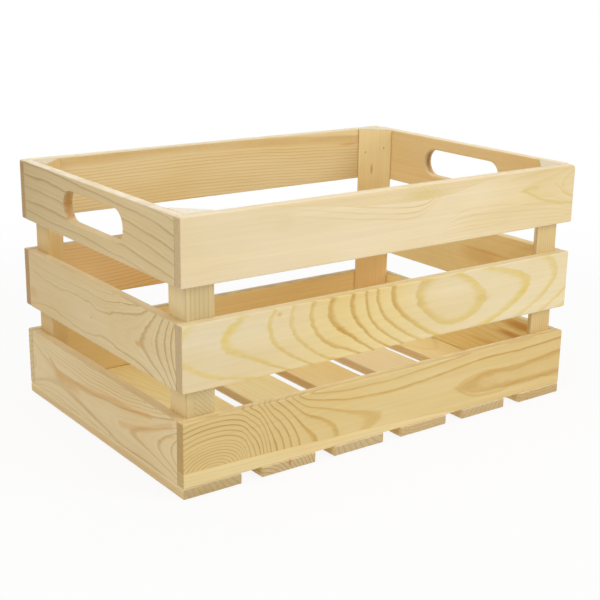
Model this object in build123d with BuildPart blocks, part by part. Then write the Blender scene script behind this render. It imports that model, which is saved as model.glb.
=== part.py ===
# Slatted pine crate: three boards on each side, a slatted floor, four triangular corner posts,
# and a hand slot through the top board of each end. It stands free and has no moving parts.
#
# Frame: millimetres, +X along the length (to the right end), +Y to the back, +Z up.
# The origin is the centre of the footprint, on the underside of the floor slats.

import os

from build123d import *

# Overall footprint
length = 460.0
width = 311.0

# Planed stock that every board and floor slat is cut from
stock_width = 59.0
stock_thickness = 10.0
arris_radius = 1.1  # sanded edges round a board's faces

# Gaps between the three levels of side boards
lower_gap = 26.0
upper_gap = 31.0

# Top corners of the two long top boards, knocked back more at the right end
left_rim_radius = 2.0
right_rim_radius = 5.0

# Hand slot through each top end board
slot_length = 116.0
slot_height = 30.0
slot_rise = 1.5  # slot's centre above the middle of its board
slot_easing = 1.2  # width of the eased edge round the slot

# Floor slats, spread evenly over the length
slat_gap_wanted = 22.0

# Triangular corner posts, right angle into the corner, with blunted thin edges
post_leg = 28.0
post_edge_flat = 2.0
post_arris = 0.8

# Brads with flat wire shanks and T heads
brad_width = 1.25
brad_thickness = 1.0
brad_head_width = 2.0
brad_head_height = 1.0
brad_point = 1.5
brad_clearance = 0.05

# Post brads: one through the post into each board, set in from the post's thin edge
post_brad_inset = 5.5
post_brad_sink = 0.8  # head's top below the post's slanting face
post_brad_cover = 2.0  # wood left between the point and the board's outer face
long_brad_rise = 2.0  # above the middle of a long board
end_brad_rise = 8.0  # above the middle of an end board

# Floor brads: driven up through the slats into the bottom boards' edges
floor_brad_length = 30.0
floor_brad_sink = 0.8
floor_brad_spread = 36.0  # between the two brads at each end of a slat
end_edge_brad_spread = 140.0  # between the two brads under each end's bottom board

# Heights of the three levels and of the rim
bottom_level = stock_thickness
middle_level = bottom_level + stock_width + lower_gap
top_level = middle_level + stock_width + upper_gap
rim_height = top_level + stock_width
levels = {"bottom": bottom_level, "middle": middle_level, "top": top_level}

# Centre planes of the side boards, and the inner faces that the posts stand against
long_board_y = (width - stock_thickness) / 2
end_board_x = (length - stock_thickness) / 2
inner_x = length / 2 - stock_thickness
inner_y = width / 2 - stock_thickness

# Floor slat layout
slat_count = max(2, round((length + slat_gap_wanted) / (stock_width + slat_gap_wanted)))
slat_pitch = (length - stock_width) / (slat_count - 1)
slat_centres = [-(length - stock_width) / 2 + i * slat_pitch for i in range(slat_count)]

# The pocket of a brad's head is this long, from under the head back into open air
brad_pocket_reach = 3 * brad_head_height

# A brad's shank starts under its head, and the post is this deep where the brad goes in
post_depth = post_edge_flat + post_brad_inset
post_shank_start = post_depth - post_brad_sink - brad_head_height
post_brad_shank = post_shank_start + stock_thickness - post_brad_cover
floor_shank_start = floor_brad_sink + brad_head_height
floor_brad_shank = floor_brad_length - brad_head_height

# Corners of the crate: the post's name and the side of X and Y that it stands on
corners = {
    "front_left": (-1, -1),
    "front_right": (1, -1),
    "back_left": (-1, 1),
    "back_right": (1, 1),
}


def long_brad_seat(side_x, side_y, level):
    """Plane under the head of the brad that holds a long board, facing the board."""
    x = side_x * (inner_x - post_leg + post_brad_inset)
    y = side_y * (inner_y - post_shank_start)
    z = level + stock_width / 2 + long_brad_rise
    return Plane(origin=(x, y, z), x_dir=(0, 0, 1), z_dir=(0, side_y, 0))


def end_brad_seat(side_x, side_y, level):
    """Plane under the head of the brad that holds an end board, facing the board."""
    x = side_x * (inner_x - post_shank_start)
    y = side_y * (inner_y - post_leg + post_brad_inset)
    z = level + stock_width / 2 + end_brad_rise
    return Plane(origin=(x, y, z), x_dir=(0, 0, 1), z_dir=(side_x, 0, 0))


def slat_end_seats(centre_x, side_y):
    """Planes under the heads of the two brads at one end of a floor slat, facing up."""
    offsets = (-floor_brad_spread / 2, floor_brad_spread / 2)
    return [Plane(origin=(centre_x + dx, side_y * long_board_y, floor_shank_start)) for dx in offsets]


def end_edge_seats(side_x):
    """Planes under the heads of the two brads below one end's bottom board, facing up."""
    offsets = (-end_edge_brad_spread / 2, end_edge_brad_spread / 2)
    return [Plane(origin=(side_x * end_board_x, dy, floor_shank_start)) for dy in offsets]


def cut_brad_holes(seats, shank):
    """Take the pockets of some brads, from open air behind the head to the point, out of a piece."""
    with Locations(*seats):
        Box(
            brad_width + 2 * brad_clearance,
            brad_thickness + 2 * brad_clearance,
            shank + brad_clearance,
            align=(Align.CENTER, Align.CENTER, Align.MIN),
            mode=Mode.SUBTRACT,
        )
        Box(
            brad_head_width + 2 * brad_clearance,
            brad_thickness + 2 * brad_clearance,
            brad_pocket_reach,
            align=(Align.CENTER, Align.CENTER, Align.MAX),
            mode=Mode.SUBTRACT,
        )


def make_long_board(side_y, level_name):
    """Front or back board, running the whole length of the crate."""
    level = levels[level_name]
    with BuildPart() as board:
        with BuildSketch(Plane.XZ.offset(-side_y * long_board_y)) as outline:
            with Locations((0, level + stock_width / 2)):
                Rectangle(length, stock_width)
            if level_name == "top":
                for end, radius in ((0, left_rim_radius), (-1, right_rim_radius)):
                    top_corners = outline.vertices().group_by(Axis.Y)[-1].sort_by(Axis.X)
                    fillet(top_corners[end], radius)
        extrude(amount=stock_thickness / 2, both=True)
        fillet(board.faces().filter_by(Axis.Y).edges(), arris_radius)
        cut_brad_holes([long_brad_seat(side_x, side_y, level) for side_x in (-1, 1)], post_brad_shank)
        if level_name == "bottom":
            for centre_x in slat_centres:
                cut_brad_holes(slat_end_seats(centre_x, side_y), floor_brad_shank)
    return board.part


def make_end_board(side_x, level_name):
    """Left or right board, between the long boards, with the hand slot at the top level."""
    level = levels[level_name]
    with BuildPart() as board:
        with BuildSketch(Plane.YZ.offset(side_x * end_board_x)):
            with Locations((0, level + stock_width / 2)):
                Rectangle(2 * inner_y, stock_width)
            if level_name == "top":
                with Locations((0, level + stock_width / 2 + slot_rise)):
                    SlotOverall(slot_length, slot_height, mode=Mode.SUBTRACT)
        extrude(amount=stock_thickness / 2, both=True)
        slot_edges = [edge for face in board.faces().filter_by(Axis.X) for edge in face.inner_wires().edges()]
        if slot_edges:
            chamfer(slot_edges, slot_easing)
        long_edges = board.edges().filter_by(Axis.Y).group_by(Axis.Z)
        fillet(long_edges[0] + long_edges[-1], arris_radius)
        cut_brad_holes([end_brad_seat(side_x, side_y, level) for side_y in (-1, 1)], post_brad_shank)
        if level_name == "bottom":
            cut_brad_holes(end_edge_seats(side_x), floor_brad_shank)
    return board.part


def make_post(side_x, side_y):
    """Triangular post in one inner corner, standing on the floor and flush with the rim."""
    corner_x = side_x * inner_x
    corner_y = side_y * inner_y
    leg_x = corner_x - side_x * post_leg
    leg_y = corner_y - side_y * post_leg
    flat_x = corner_x - side_x * post_edge_flat
    flat_y = corner_y - side_y * post_edge_flat
    with BuildPart() as post:
        with BuildSketch(Plane.XY.offset(stock_thickness)) as section:
            with BuildLine():
                Polyline(
                    (corner_x, corner_y),
                    (leg_x, corner_y),
                    (leg_x, flat_y),
                    (flat_x, leg_y),
                    (corner_x, leg_y),
                    close=True,
                )
            make_face()
            fillet(section.vertices(), post_arris)
        extrude(amount=rim_height - stock_thickness)
        seats = [long_brad_seat(side_x, side_y, level) for level in levels.values()]
        seats += [end_brad_seat(side_x, side_y, level) for level in levels.values()]
        cut_brad_holes(seats, post_brad_shank)
    return post.part


def make_floor_slat(centre_x):
    """Floor slat under the side boards, running from the front face to the back face."""
    with BuildPart() as slat:
        with BuildSketch():
            with Locations((centre_x, 0)):
                Rectangle(stock_width, width)
        extrude(amount=stock_thickness)
        fillet(slat.faces().filter_by(Axis.Z).edges(), arris_radius)
        for side_y in (-1, 1):
            cut_brad_holes(slat_end_seats(centre_x, side_y), floor_brad_shank)
        if centre_x == slat_centres[0]:
            cut_brad_holes(end_edge_seats(-1), floor_brad_shank)
        if centre_x == slat_centres[-1]:
            cut_brad_holes(end_edge_seats(1), floor_brad_shank)
    return slat.part


def make_brads(seats, shank):
    """Group of brads: a T head, a flat shank and a chisel point, cut from one wire profile."""
    half_head = brad_head_width / 2
    half_wire = brad_width / 2
    with BuildPart() as brad:
        with BuildSketch(Plane.XZ):
            with BuildLine():
                Polyline(
                    (-half_head, -brad_head_height),
                    (half_head, -brad_head_height),
                    (half_head, 0),
                    (half_wire, 0),
                    (half_wire, shank - brad_point),
                    (0, shank),
                    (-half_wire, shank - brad_point),
                    (-half_wire, 0),
                    (-half_head, 0),
                    close=True,
                )
            make_face()
        extrude(amount=brad_thickness / 2, both=True)
    with BuildPart() as group:
        with Locations(*seats):
            add(brad.part)
    return group.part


pieces = {}

for level_name in levels:
    pieces[f"front_{level_name}_board"] = make_long_board(-1, level_name)
    pieces[f"back_{level_name}_board"] = make_long_board(1, level_name)
    end_name = "handle" if level_name == "top" else level_name
    pieces[f"left_{end_name}_board"] = make_end_board(-1, level_name)
    pieces[f"right_{end_name}_board"] = make_end_board(1, level_name)

for corner_name, (side_x, side_y) in corners.items():
    pieces[f"{corner_name}_post"] = make_post(side_x, side_y)

for number, centre_x in enumerate(slat_centres, start=1):
    pieces[f"floor_slat_{number}"] = make_floor_slat(centre_x)

post_brad_seats = []
for side_x, side_y in corners.values():
    for level in levels.values():
        post_brad_seats.append(long_brad_seat(side_x, side_y, level))
        post_brad_seats.append(end_brad_seat(side_x, side_y, level))
pieces["post_brads"] = make_brads(post_brad_seats, post_brad_shank)

floor_brad_seats = end_edge_seats(-1) + end_edge_seats(1)
for centre_x in slat_centres:
    floor_brad_seats += slat_end_seats(centre_x, -1) + slat_end_seats(centre_x, 1)
pieces["floor_brads"] = make_brads(floor_brad_seats, floor_brad_shank)

os.makedirs("parts", exist_ok=True)
for name, piece in pieces.items():
    piece.label = name
    export_step(piece, f"parts/{name}.step")
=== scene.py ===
# Looks of the slatted pine crate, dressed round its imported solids.
#
# Each board and floor slat is a mesh with eased, uneven edges, cut from an imagined log, so that its face,
# edge and end grain belong together: rings follow how far across and deep a point lies from the pith.
# A board's own axes are u along the grain, v across it and w in from its outer face, in millimetres.

import math

import bmesh
import bpy
import numpy as np
from mathutils import Matrix, Vector, noise


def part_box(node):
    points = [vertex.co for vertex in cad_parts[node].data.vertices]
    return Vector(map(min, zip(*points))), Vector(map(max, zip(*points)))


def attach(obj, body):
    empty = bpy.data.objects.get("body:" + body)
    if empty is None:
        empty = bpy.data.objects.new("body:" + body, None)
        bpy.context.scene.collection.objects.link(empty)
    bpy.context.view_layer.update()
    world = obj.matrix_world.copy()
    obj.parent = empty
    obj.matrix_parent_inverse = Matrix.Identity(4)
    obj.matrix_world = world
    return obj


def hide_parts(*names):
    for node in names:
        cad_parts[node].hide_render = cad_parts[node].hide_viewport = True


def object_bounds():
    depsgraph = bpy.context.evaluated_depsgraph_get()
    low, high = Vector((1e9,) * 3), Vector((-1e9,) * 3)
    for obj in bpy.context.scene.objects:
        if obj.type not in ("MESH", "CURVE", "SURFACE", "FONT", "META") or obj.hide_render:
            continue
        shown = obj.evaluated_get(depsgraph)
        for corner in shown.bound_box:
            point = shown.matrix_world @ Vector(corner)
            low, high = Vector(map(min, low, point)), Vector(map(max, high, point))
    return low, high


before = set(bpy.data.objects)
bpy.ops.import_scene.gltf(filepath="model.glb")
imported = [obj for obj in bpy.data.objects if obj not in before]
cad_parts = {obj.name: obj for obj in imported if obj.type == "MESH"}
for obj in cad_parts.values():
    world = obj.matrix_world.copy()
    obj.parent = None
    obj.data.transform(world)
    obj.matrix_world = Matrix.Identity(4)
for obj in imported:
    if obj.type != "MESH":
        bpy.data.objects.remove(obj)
cad_low, cad_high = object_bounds()

MM = 0.001

# Eased edges and corners of the boards, and the length over which the edges are uneven
ARRIS = 1.1
BUTT_ARRIS = 0.4
ARRIS_STEPS = 4
ARRIS_UNEVEN = 0.28
ARRIS_WAVE = 21.0
CORNER = 1.5
CORNER_STEPS = 5

# Waviness of the faces: its depth, and its length along and across the grain
FACE_WAVE = 0.12
FACE_WAVE_U = 75.0
FACE_WAVE_V = 30.0

# Steps through the noise from board to board, for edges, faces and wood, and from outer to inner face
ARRIS_SEED = 7.3
FACE_SEED = 3.1
STOCK_SHIFT = 371.0
INNER_FACE_SEED = 50.0

# Left and right rim corners of the long top boards, and the hand slot
RIM_CORNERS = (2.0, 5.0)
SLOT_LENGTH = 116.0
SLOT_HEIGHT = 30.0
SLOT_RISE = 1.5
SLOT_EASING = 1.3
SLOT_STEPS = 12

# Spacing of a mesh along and across the grain and beside edges, and a length too small to see
COLUMN = 5.0
ROW = 5.0
EDGE_ROW = 1.2
TINY = 1e-6

# Pockets of the floor brads: size, depth, and places on a slat
POCKET_U = 1.1
POCKET_V = 2.1
POCKET_DEPTH = 1.8
BRAD_SPREAD = 36.0
BRAD_INSET = 5.0
END_EDGE_BRAD_SPREAD = 140.0
SHARP_ANGLE = math.radians(50)

# Usual colour of resin and knots, also the painted shade on the long sides of floor slats, their reach into
# a board, and how far streaks fade past their ends
RESIN_AND_SHADE = (206, 149, 64)
STAIN_DEEP = 6.0
STREAK_END = 8.0

# Distance over which late wood fades below a bare part, false lines of it in a year, and a radius that no
# ring has
BARE_FADE = 8.0
FALSE_LINES = 3.0
OUT_OF_REACH = 10000.0

# Usual tones of a board: share of heartwood (on posts, painted shade by height), strength of late wood,
# and part of a year where it starts
TONES = {"heart_and_shade": 0.7, "vivid": 1.0, "crisp": 0.62}

# Tint of the end grain, over the colour of the face
BOARD_END = (224, 213, 196)
SLAT_END = (205, 193, 178)
OUTER_SLAT_END = (211, 206, 200)
BACK_END = (205, 190, 172)

# How far handling has worn the rim, other edges, the slot, corners of edges and tops of posts, equal
# shares of it on the outer and inner arris, and the usual colour of worn wood. On the rim, the slot and the
# corners of edges this pale colour is partly a painted highlight.
RIM_WEAR_AND_HIGHLIGHT = 1.0
EDGE_WEAR = 0.3
SLOT_WEAR_AND_HIGHLIGHT = 0.15
CORNER_WEAR_AND_HIGHLIGHT = 0.6
POST_TOP_WEAR = 3.0
EVEN = (1.0, 1.0)
WEAR_AND_HIGHLIGHT = (246, 236, 213)

# Posts: heights in metres between which they grow paler, a painted shade that leaves them darker and
# more orange lower inside the crate; low corner from the pith, height in metres below which a leaning grain
# goes aside, and distance from the left face over which it starts to
POST_PALING = (0.13, 0.22)
POST_PITH = (60.0, -14.0)
POST_STRAIGHT = 0.12
POST_LEAN_FADE = 8.0

# Drawing marks of the brads' wire per metre
WIRE_MARKS = (4000, 4000, 900)

# Studio in metres: paper floor, the white glow seen on it and the distances between which it clears, room
# light, and lamps by place, size and power, aimed at the middle of the crate
WHITE = (255, 255, 255)
PAPER = (237, 237, 237)
PAPER_SIZE = 8.0
PAPER_DROP = 0.0005
PAPER_GLOW = 0.88
PAPER_CLEAR = (0.5, 1.0)
ROOM = (255, 252, 248)
ROOM_LIGHT = 0.46
MIDDLE = (0.0, 0.0, 0.12)
LAMPS = {
    "key": ((1.4, -2.1, 1.2), 1.6, 35.5),
    "left_fill": ((-1.9, -0.5, 1.7), 1.6, 19.5),
    "overhead": ((0.1, 0.2, 2.2), 1.4, 8.5),
    "back_fill": ((-0.1, 2.3, 0.8), 1.2, 8.0),
}

# Camera: sensor and lens in millimetres, place in metres, and turns in degrees
SENSOR = 36.0
LENS = 70.64
EYE = (-0.6876, -0.9384, 0.4480)
AZIMUTH = -36.335
DOWN = 16.646
ROLL = 0.927


def linear(red, green, blue):
    """Colour for a shader socket from everyday 0 to 255 values."""
    shares = [value / 255 for value in (red, green, blue)]
    return [c / 12.92 if c <= 0.04045 else ((c + 0.055) / 1.055) ** 2.4 for c in shares] + [1.0]


def put(name, data):
    """New object in the scene."""
    thing = bpy.data.objects.new(name, data)
    bpy.context.scene.collection.objects.link(thing)
    return thing


def follow(points, u):
    """Smooth curve through (position, value) points, read at the positions u."""
    x, y = np.array(points, float).T
    slope = np.gradient(y, x)
    u = np.clip(u, x[0], x[-1])
    i = np.clip(np.searchsorted(x, u) - 1, 0, len(x) - 2)
    step = x[i + 1] - x[i]
    t = (u - x[i]) / step
    rise = (2 * t**3 - 3 * t**2 + 1) * y[i] + (3 * t**2 - 2 * t**3) * y[i + 1]
    bend = (t**3 - 2 * t**2 + t) * slope[i] + (t**3 - t**2) * slope[i + 1]
    return rise + bend * step


def spread(first, last, spacing):
    """Even places from first to last, both included."""
    return np.linspace(first, last, max(1, round((last - first) / spacing)) + 1)


def with_lines(places, lines):
    """Mesh places with some lines added, and those too near them taken out."""
    kept = [place for place in places if all(abs(place - line) > EDGE_ROW for line in lines)]
    return sorted(kept + sorted(set(lines)))


def long_edge(length, level, facing, radii, stations):
    """Outline of a board's long edge and its two corners: u, v and the outward normal."""
    turns = np.linspace(0, math.pi / 2, CORNER_STEPS + 1)
    outline = []
    for turn in turns:
        nu, nv = -math.cos(turn), facing * math.sin(turn)
        outline.append((radii[0] * (1 + nu), level + radii[0] * (nv - facing), nu, nv))
    outline += [(u, level, 0.0, facing) for u in stations]
    for turn in turns[::-1]:
        nu, nv = math.cos(turn), facing * math.sin(turn)
        outline.append((length + radii[1] * (nu - 1), level + radii[1] * (nv - facing), nu, nv))
    return outline


def slot_stations(centre_u, half_run, eased):
    """Places along a board that follow the rounded ends of its slot."""
    turns = np.linspace(0, math.pi / 2, SLOT_STEPS + 1)
    left = [centre_u - half_run - eased * math.cos(turn) for turn in turns]
    middle = spread(centre_u - half_run, centre_u + half_run, COLUMN)[1:-1]
    right = [centre_u + half_run + eased * math.cos(turn) for turn in turns[::-1]]
    return left + list(middle) + right


def slat_pockets(node, length, width):
    """Places of the brad pockets on a floor slat's underside."""
    half_v, half_u = BRAD_SPREAD / 2, END_EDGE_BRAD_SPREAD / 2
    ends = (BRAD_INSET, length - BRAD_INSET)
    pockets = [(u, width / 2 + dv) for u in ends for dv in (-half_v, half_v)]
    under_end = {"floor_slat_1": BRAD_INSET, "floor_slat_6": width - BRAD_INSET}
    if node in under_end:
        pockets += [(length / 2 + du, under_end[node]) for du in (-half_u, half_u)]
    return pockets


class BoardForm:
    """Mesh of one board in its own axes: points, how much edge colour of handling and painted light each one
    takes, and quads.

    Both faces are one grid of places, keyed by row from the lower edge and column along the grain.
    """

    def __init__(self, size, seed, radii, stations, rows, end_arris):
        length, width, self.thickness = size
        self.seed = seed
        self.rows = rows
        self.last = len(rows) - 1
        self.end_arris = end_arris
        self.low = long_edge(length, 0.0, -1.0, radii[0], stations)
        self.high = long_edge(length, width, 1.0, radii[1], stations)
        self.columns = range(len(self.low))
        self.points, self.worn, self.quads = [], [], []
        self.places, self.outline, self.easings = {}, {}, {}
        self.lay_out_face()
        self.keys = {key: key for key in self.places}
        self.parting, self.slot_loop, self.pocket_cells = None, [], []

    def vertex(self, u, v, w, worn=0.0):
        self.points.append((u, v, w))
        self.worn.append(worn)
        return len(self.points) - 1

    def face_edge(self, key, u, v, nu, nv):
        """Place where the face ends and its eased edge starts."""
        wave = Vector((u / ARRIS_WAVE, v / ARRIS_WAVE, self.seed * ARRIS_SEED))
        arris = ARRIS + (self.end_arris - ARRIS) * abs(nu)
        easing = arris * (1 + ARRIS_UNEVEN * noise.noise(wave))
        self.outline[key] = (u, v, nu, nv)
        self.easings[key] = easing
        return u - nu * easing, v - nv * easing

    def lay_out_face(self):
        """Places on the face, row by row from the lower edge to the upper one."""
        ends = (self.columns[0], self.columns[-1])
        for i in self.columns:
            foot = self.face_edge((0, i), *self.low[i])
            head = self.face_edge((self.last, i), *self.high[i])
            u, low_v, nu = self.low[i][:3]
            high_v = self.high[i][1]
            for j, share in enumerate(self.rows):
                if i in ends and 0 < j < self.last:
                    v = low_v + (high_v - low_v) * share
                    self.places[j, i] = self.face_edge((j, i), u, v, nu, 0.0)
                else:
                    self.places[j, i] = tuple(a + (b - a) * share for a, b in zip(foot, head))

    def cut_slot(self, centre_u, centre_v, half_run, radius):
        """Rows part round the slot, and meet again on one row beyond its ends."""
        below, above = self.last // 2, self.last // 2 + 1
        full = radius + SLOT_EASING
        inside = [i for i in self.columns if abs(self.low[i][0] - centre_u) <= half_run + full + TINY]
        shares = (0, self.rows[below], self.rows[above], 1)
        for i in self.columns:
            beyond = max(0.0, abs(self.low[i][0] - centre_u) - half_run)
            rise = math.sqrt(max(0.0, full**2 - beyond**2))
            foot, head = self.places[0, i][1], self.places[self.last, i][1]
            levels = np.interp(self.rows, shares, (foot, centre_v - rise, centre_v + rise, head))
            for j in range(1, self.last):
                self.places[j, i] = (self.places[j, i][0], levels[j])
                if (j, i) in self.outline:
                    self.outline[j, i] = (self.outline[j, i][0], levels[j], *self.outline[j, i][2:])
            if i not in inside[1:-1]:
                self.keys[above, i] = (below, i)
        self.parting = below
        self.slot_loop = [(below, i) for i in inside] + [(above, i) for i in inside[-2:0:-1]]
        for key in self.slot_loop:
            u, v = self.places[key]
            run = min(half_run, max(-half_run, u - centre_u))
            nu, nv = (u - centre_u - run) / full, (v - centre_v) / full
            self.outline[key] = (centre_u + run + nu * radius, centre_v + nv * radius, -nu, -nv)
            self.easings[key] = SLOT_EASING

    def open_pockets(self, pockets):
        """Note the cells of the outer face that open into brad pockets, and set their corners true."""
        for u, v in pockets:
            i = int(np.argmin([abs(place[0] - u + POCKET_U / 2) for place in self.low]))
            j = int(np.argmin([abs(self.places[row, i][1] - v + POCKET_V / 2) for row in range(self.last)]))
            self.pocket_cells.append((j, i))
            for dj, dv in ((0, -POCKET_V / 2), (1, POCKET_V / 2)):
                for di, du in ((0, -POCKET_U / 2), (1, POCKET_U / 2)):
                    self.places[j + dj, i + di] = (u + du, v + dv)

    def line_pocket(self, mouth, cell):
        """Walls and bottom of one brad pocket."""
        bottom = [self.vertex(*self.places[key], POCKET_DEPTH) for key in cell]
        self.quads.append(bottom)
        for k in range(len(cell)):
            self.quads.append((mouth[k - 1], mouth[k], bottom[k], bottom[k - 1]))

    def ease_walls(self, faces, keys, wear_and_shading_share, corner_wear_and_highlight, sides):
        """Quads along some keys from the outer face, round the eased wall, to the inner face."""
        turns = [math.pi / 2 * k / ARRIS_STEPS for k in range(1, ARRIS_STEPS + 1)]
        steps = [(turn, 0) for turn in turns] + [(turn, 1) for turn in turns[::-1]]
        loops = [[faces[0][key] for key in keys]]
        for turn, side in steps:
            corner = corner_wear_and_highlight * math.sin(2 * turn)
            edge = max(corner, wear_and_shading_share * math.sin(turn))
            loop = []
            for key in keys:
                u, v, nu, nv = self.outline[key]
                inset = self.easings[key] * (1 - math.sin(turn))
                depth = self.easings[key] * (1 - math.cos(turn))
                w = self.thickness - depth if side else depth
                worn = sides[side] * (corner + (edge - corner) * abs(nv))
                loop.append(self.vertex(u - nu * inset, v - nv * inset, w, worn))
            loops.append(loop)
        loops.append([faces[1][key] for key in keys])
        for loop, following in zip(loops, loops[1:]):
            for i in range(len(loop)):
                self.quads.append((loop[i - 1], loop[i], following[i], following[i - 1]))

    def build(self, wear_and_shading_share, sides):
        """The two faces, and the walls round the board, the slot and the pockets."""
        faces = []
        for w in (0.0, self.thickness):
            own = {key: self.vertex(*self.places[key], w) for key in self.places if self.keys[key] == key}
            faces.append({key: own[self.keys[key]] for key in self.places})
        outer, inner = faces
        cells = [(j, i) for j in range(self.last) if j != self.parting for i in self.columns[:-1]]
        for j, i in cells:
            cell = [(j, i), (j, i + 1), (j + 1, i + 1), (j + 1, i)]
            mouth = [outer[key] for key in cell]
            self.quads.append([inner[key] for key in cell])
            if (j, i) in self.pocket_cells:
                self.line_pocket(mouth, cell)
            else:
                self.quads.append(mouth)
        rim = [(0, i) for i in self.columns] + [(j, self.columns[-1]) for j in range(1, self.last)]
        rim += [(self.last, i) for i in self.columns[::-1]]
        rim += [(j, 0) for j in range(self.last - 1, 0, -1)]
        rim = [key for key in rim if self.keys[key] == key]
        self.ease_walls(faces, rim, wear_and_shading_share, CORNER_WEAR_AND_HIGHLIGHT, sides)
        self.ease_walls(faces, self.slot_loop, SLOT_WEAR_AND_HIGHLIGHT, SLOT_WEAR_AND_HIGHLIGHT, EVEN)
        return np.array(self.points), np.array(self.worn), self.quads


class Nodes:
    """Short way to write a node tree. Inputs are sockets to link or plain values, by name."""

    def __init__(self, tree):
        self.tree = tree
        tree.nodes.clear()

    def add(self, kind, inputs=None, **settings):
        node = self.tree.nodes.new(kind)
        for name, value in settings.items():
            setattr(node, name, value)
        for name, value in (inputs or {}).items():
            socket = node.inputs[name]
            if isinstance(value, bpy.types.NodeSocket):
                self.tree.links.new(value, socket)
            else:
                socket.default_value = value
        return node

    def math(self, operation, *values):
        return self.add("ShaderNodeMath", dict(enumerate(values)), operation=operation).outputs[0]

    def swing(self, value, by, about):
        """Value times a share, added to another value."""
        return self.math("MULTIPLY_ADD", value, by, about)

    def product(self, first, *others):
        for other in others:
            first = self.math("MULTIPLY", first, other)
        return first

    def vector(self, operation, *inputs, output="Vector"):
        node = self.add("ShaderNodeVectorMath", dict(enumerate(inputs)), operation=operation)
        return node.outputs[output]

    def split(self, vector):
        return self.add("ShaderNodeSeparateXYZ", {0: vector}).outputs

    def join(self, *parts):
        return self.add("ShaderNodeCombineXYZ", dict(enumerate(parts))).outputs[0]

    def attribute(self, key, output="Vector"):
        return self.add("ShaderNodeAttribute", attribute_name=key).outputs[output]

    def noise(self, vector, detail=2.0, roughness=0.5):
        """Soft noise from about -1 to 1."""
        inputs = {"Vector": vector, "Scale": 1.0, "Detail": detail, "Roughness": roughness}
        fac = self.add("ShaderNodeTexNoise", inputs).outputs["Fac"]
        return self.swing(fac, by=2.0, about=-1.0)

    def wood_noise(self, stock, across, along, detail=2.0, roughness=0.5):
        """Noise with spots of these sizes across and along the grain."""
        scale = (1 / across, 1 / across, 1 / along)
        return self.noise(self.vector("MULTIPLY", stock, scale), detail, roughness)

    def ramp(self, value, low, high, start=0.0, end=1.0):
        """Smooth step from start at low to end at high."""
        inputs = {"Value": value, "From Min": low, "From Max": high, "To Min": start, "To Max": end}
        return self.add("ShaderNodeMapRange", inputs, interpolation_type="SMOOTHSTEP").outputs["Result"]

    def mix(self, share, a, b, blend="MIX"):
        """One colour, or the other where share is 1."""
        inputs = {"Factor": share, 6: a, 7: b}
        return self.add("ShaderNodeMix", inputs, data_type="RGBA", blend_type=blend).outputs[2]

    def blend(self, share, a, b):
        """One vector, or the other where share is 1."""
        return self.add("ShaderNodeMix", {"Factor": share, 4: a, 5: b}, data_type="VECTOR").outputs[1]

    def mix_shaders(self, share, a, b):
        return self.add("ShaderNodeMixShader", {0: share, 1: a, 2: b}).outputs[0]

    def shade(self, colour, share):
        """Colour times a grey share."""
        inputs = {0: colour, "Scale": share}
        return self.add("ShaderNodeVectorMath", inputs, operation="SCALE").outputs[0]


def new_material(name):
    """Material with an empty node tree, and the way to write it."""
    material = bpy.data.materials.new(name)
    material.use_nodes = True
    return material, Nodes(material.node_tree)


def growth_years(n, given):
    """Years of growth out to a place, at another rate inside the core and beyond the outer break."""
    drift = n.wood_noise(given["Stock"], across=26, along=110)
    jag = n.wood_noise(given["Stock"], across=4, along=13)
    reach = n.vector("LENGTH", given["Log"], output="Value")
    reach = n.swing(drift, by=given["Warp"], about=reach)
    reach = n.swing(jag, by=given["Jag"], about=reach)
    past_core = n.math("SUBTRACT", reach, given["Core"])
    past_outer = n.math("SUBTRACT", reach, given["Outer"])
    years = n.math("DIVIDE", past_core, given["Ring"])
    years = n.swing(n.math("MINIMUM", past_core, 0.0), by=given["Core Pull"], about=years)
    return n.swing(n.math("MAXIMUM", past_outer, 0.0), by=given["Outer Pull"], about=years)


def year_line(n, years, crisp_start, fine):
    """Late wood that tints a year slowly and ends it with a crisp band, and faint false lines between."""
    season = n.math("FRACT", years)
    tint = n.ramp(season, low=0.05, high=0.9, end=0.12)
    crisp = n.ramp(season, low=crisp_start, high=n.swing(crisp_start, by=0.3, about=0.66))
    line = n.swing(crisp, by=0.88, about=tint)
    line = n.product(line, n.ramp(season, low=0.91, high=1.0, start=1.0, end=0.0))
    season = n.math("FRACT", n.product(years, FALSE_LINES))
    false_stop = n.ramp(season, low=0.9, high=1.0, start=1.0, end=0.0)
    return n.math("MAXIMUM", line, n.product(n.ramp(season, low=0.3, high=0.9), false_stop, fine))


def line_strength(n, stock, years, vivid):
    """How dark a year's line is here: by the year, in patches and in flecks."""
    year = n.math("FLOOR", years)
    vigour = n.add("ShaderNodeTexWhiteNoise", {"W": year}, noise_dimensions="1D").outputs["Value"]
    vigour = n.swing(vigour, by=0.4, about=0.7)
    patches = n.swing(n.wood_noise(stock, across=14, along=60, detail=1.0), by=0.35, about=0.85)
    flecks = n.swing(n.wood_noise(stock, across=1.5, along=5), by=0.3, about=1.0)
    return n.product(vigour, patches, flecks, vivid)


# Sockets of the pine group by kind
PINE_INPUTS = {
    "Vector": "Log, Tone, Stock, Grain",
    "Float": "Edge, Stain, Ring, Core, Core Pull, Outer, Outer Pull, Warp, Jag, Line, Fine",
    "Color": "Pale, Early, Faint, Late, End, Worn, Resin",
}
PINE_OUTPUTS = {"Color": "Color", "Float": "Roughness", "Vector": "Normal"}


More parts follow.
